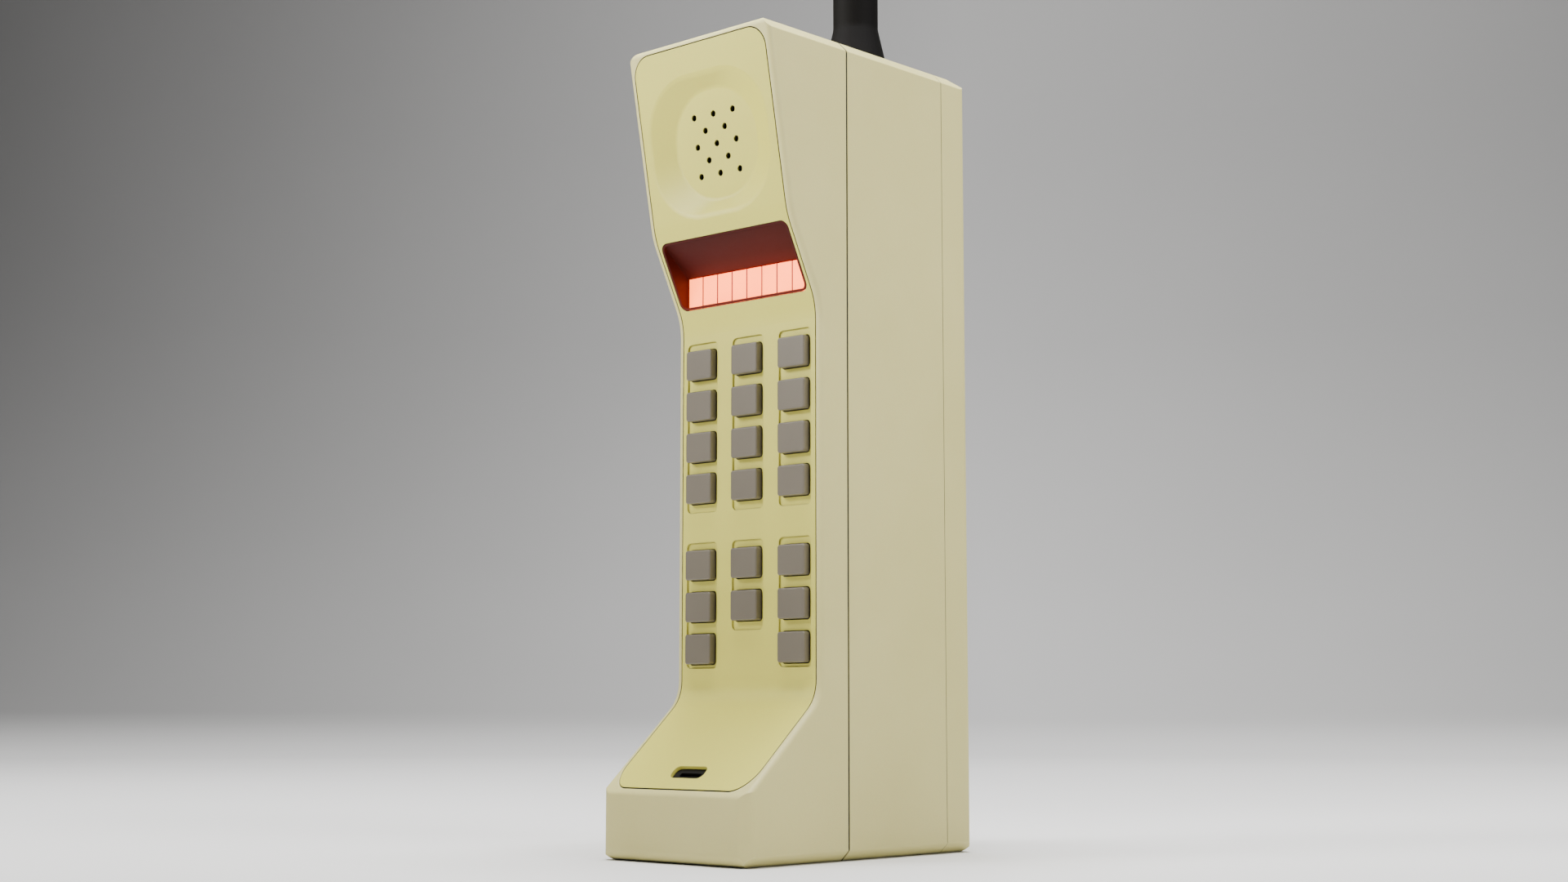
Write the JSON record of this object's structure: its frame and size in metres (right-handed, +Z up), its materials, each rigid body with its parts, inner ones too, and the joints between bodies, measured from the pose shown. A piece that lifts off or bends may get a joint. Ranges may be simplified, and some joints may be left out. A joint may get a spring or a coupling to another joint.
{
  "type": "early mobile phone",
  "caption": "Tall brick-shaped early mobile phone with earpiece dish, lit display strip, keypad, forward mouthpiece, removable battery pack and rubber antenna.",
  "frame": {"origin": "on the floor, under the middle of the phone's body", "axes": "+Z up along the antenna, -Y towards the user's face (keypad side), +X to the right when facing the keypad"},
  "size_m": [0.052, 0.09, 0.3273],
  "materials": {
    "shell_plastic": "fine moulded texture",
    "latch_plastic": "ribbed moulded plastic",
    "panel_plastic": "smooth satin moulding",
    "key_plastic": "satin moulded keys",
    "tray_plastic": "dark satin",
    "led_light": "glowing bars",
    "led_carrier": "satin",
    "circuit_board": "solder mask",
    "membrane_rubber": "matte",
    "spacer_brass": "turned",
    "chip_plastic": "moulded",
    "shield_steel": "tin plated",
    "filter_metal": "silver plated",
    "speaker_cloth": "woven",
    "gasket_foam": "matte",
    "speaker_metal": "satin",
    "microphone_rubber": "matte",
    "seal_rubber": "matte",
    "microphone_metal": "satin",
    "screw_steel": "zinc plated",
    "inner_plastic": "moulded",
    "contact_metal": "gold flashed",
    "cell_steel": "nickel plated",
    "strap_nickel": "satin",
    "antenna_rubber": "satin",
    "antenna_metal": "turned"
  },
  "bodies": {
    "phone": {"front_housing": "shell_plastic", "rear_housing": "shell_plastic", "front_panel": "panel_plastic", "display_tray": "tray_plastic", "led_bars": "led_light", "led_base": "led_carrier", "display_board": "circuit_board", "keypad_board": "circuit_board", "logic_board": "circuit_board", "keypad_membrane": "membrane_rubber", "board_spacers": "spacer_brass", "logic_chips": "chip_plastic", "radio_shield": "shield_steel", "antenna_filter": "filter_metal", "speaker_cloth": "speaker_cloth", "speaker_gasket": "gasket_foam", "earpiece_speaker": "speaker_metal", "microphone_boot": "microphone_rubber", "microphone": "microphone_metal", "housing_screws": "screw_steel", "battery_bay": "inner_plastic", "bay_contacts": "contact_metal", "antenna_bush": "antenna_metal", "seam_gasket": "seal_rubber"},
    "battery_pack": {"pack_case": "inner_plastic", "pack_cover": "shell_plastic", "pack_contacts": "contact_metal", "battery_cells": "cell_steel", "cell_straps": "strap_nickel"},
    "latch": {"battery_latch": "latch_plastic", "latch_tongue": "screw_steel"},
    "antenna": {"antenna_whip": "antenna_rubber", "antenna_core": "antenna_metal"},
    "key_row1_left": {"key_row1_left": "key_plastic"},
    "key_row1_middle": {"key_row1_middle": "key_plastic"},
    "key_row1_right": {"key_row1_right": "key_plastic"},
    "key_row2_left": {"key_row2_left": "key_plastic"},
    "key_row2_middle": {"key_row2_middle": "key_plastic"},
    "key_row2_right": {"key_row2_right": "key_plastic"},
    "key_row3_left": {"key_row3_left": "key_plastic"},
    "key_row3_middle": {"key_row3_middle": "key_plastic"},
    "key_row3_right": {"key_row3_right": "key_plastic"},
    "key_row4_left": {"key_row4_left": "key_plastic"},
    "key_row4_middle": {"key_row4_middle": "key_plastic"},
    "key_row4_right": {"key_row4_right": "key_plastic"},
    "key_row5_left": {"key_row5_left": "key_plastic"},
    "key_row5_middle": {"key_row5_middle": "key_plastic"},
    "key_row5_right": {"key_row5_right": "key_plastic"},
    "key_row6_left": {"key_row6_left": "key_plastic"},
    "key_row6_middle": {"key_row6_middle": "key_plastic"},
    "key_row6_right": {"key_row6_right": "key_plastic"},
    "key_row7_left": {"key_row7_left": "key_plastic"},
    "key_row7_right": {"key_row7_right": "key_plastic"}
  },
  "joints": [
    {"name": "key_row1_left_press", "type": "slide", "parent": "phone", "child": "key_row1_left", "axis": [0, 1, 0], "range_m": [0, 0.001], "stiffness_N_per_m": 600, "springref_m": -0.0005},
    {"name": "key_row1_middle_press", "type": "slide", "parent": "phone", "child": "key_row1_middle", "axis": [0, 1, 0], "range_m": [0, 0.001], "stiffness_N_per_m": 600, "springref_m": -0.0005},
    {"name": "key_row1_right_press", "type": "slide", "parent": "phone", "child": "key_row1_right", "axis": [0, 1, 0], "range_m": [0, 0.001], "stiffness_N_per_m": 600, "springref_m": -0.0005},
    {"name": "key_row2_left_press", "type": "slide", "parent": "phone", "child": "key_row2_left", "axis": [0, 1, 0], "range_m": [0, 0.001], "stiffness_N_per_m": 600, "springref_m": -0.0005},
    {"name": "key_row2_middle_press", "type": "slide", "parent": "phone", "child": "key_row2_middle", "axis": [0, 1, 0], "range_m": [0, 0.001], "stiffness_N_per_m": 600, "springref_m": -0.0005},
    {"name": "key_row2_right_press", "type": "slide", "parent": "phone", "child": "key_row2_right", "axis": [0, 1, 0], "range_m": [0, 0.001], "stiffness_N_per_m": 600, "springref_m": -0.0005},
    {"name": "key_row3_left_press", "type": "slide", "parent": "phone", "child": "key_row3_left", "axis": [0, 1, 0], "range_m": [0, 0.001], "stiffness_N_per_m": 600, "springref_m": -0.0005},
    {"name": "key_row3_middle_press", "type": "slide", "parent": "phone", "child": "key_row3_middle", "axis": [0, 1, 0], "range_m": [0, 0.001], "stiffness_N_per_m": 600, "springref_m": -0.0005},
    {"name": "key_row3_right_press", "type": "slide", "parent": "phone", "child": "key_row3_right", "axis": [0, 1, 0], "range_m": [0, 0.001], "stiffness_N_per_m": 600, "springref_m": -0.0005},
    {"name": "key_row4_left_press", "type": "slide", "parent": "phone", "child": "key_row4_left", "axis": [0, 1, 0], "range_m": [0, 0.001], "stiffness_N_per_m": 600, "springref_m": -0.0005},
    {"name": "key_row4_middle_press", "type": "slide", "parent": "phone", "child": "key_row4_middle", "axis": [0, 1, 0], "range_m": [0, 0.001], "stiffness_N_per_m": 600, "springref_m": -0.0005},
    {"name": "key_row4_right_press", "type": "slide", "parent": "phone", "child": "key_row4_right", "axis": [0, 1, 0], "range_m": [0, 0.001], "stiffness_N_per_m": 600, "springref_m": -0.0005},
    {"name": "key_row5_left_press", "type": "slide", "parent": "phone", "child": "key_row5_left", "axis": [0, 1, 0], "range_m": [0, 0.001], "stiffness_N_per_m": 600, "springref_m": -0.0005},
    {"name": "key_row5_middle_press", "type": "slide", "parent": "phone", "child": "key_row5_middle", "axis": [0, 1, 0], "range_m": [0, 0.001], "stiffness_N_per_m": 600, "springref_m": -0.0005},
    {"name": "key_row5_right_press", "type": "slide", "parent": "phone", "child": "key_row5_right", "axis": [0, 1, 0], "range_m": [0, 0.001], "stiffness_N_per_m": 600, "springref_m": -0.0005},
    {"name": "key_row6_left_press", "type": "slide", "parent": "phone", "child": "key_row6_left", "axis": [0, 1, 0], "range_m": [0, 0.001], "stiffness_N_per_m": 600, "springref_m": -0.0005},
    {"name": "key_row6_middle_press", "type": "slide", "parent": "phone", "child": "key_row6_middle", "axis": [0, 1, 0], "range_m": [0, 0.001], "stiffness_N_per_m": 600, "springref_m": -0.0005},
    {"name": "key_row6_right_press", "type": "slide", "parent": "phone", "child": "key_row6_right", "axis": [0, 1, 0], "range_m": [0, 0.001], "stiffness_N_per_m": 600, "springref_m": -0.0005},
    {"name": "key_row7_left_press", "type": "slide", "parent": "phone", "child": "key_row7_left", "axis": [0, 1, 0], "range_m": [0, 0.001], "stiffness_N_per_m": 600, "springref_m": -0.0005},
    {"name": "key_row7_right_press", "type": "slide", "parent": "phone", "child": "key_row7_right", "axis": [0, 1, 0], "range_m": [0, 0.001], "stiffness_N_per_m": 600, "springref_m": -0.0005},
    {"name": "battery_pack_removal", "type": "slide", "parent": "phone", "child": "battery_pack", "axis": [0, 1, 0], "range_m": [0, 0.03]},
    {"name": "battery_latch_slide", "type": "slide", "parent": "battery_pack", "child": "latch", "axis": [0, 0, -1], "range_m": [0, 0.003], "stiffness_N_per_m": 400, "springref_m": -0.001},
    {"name": "antenna_removal", "type": "slide", "parent": "phone", "child": "antenna", "axis": [0, 0, 1], "range_m": [0, 0.012]}
  ]
}
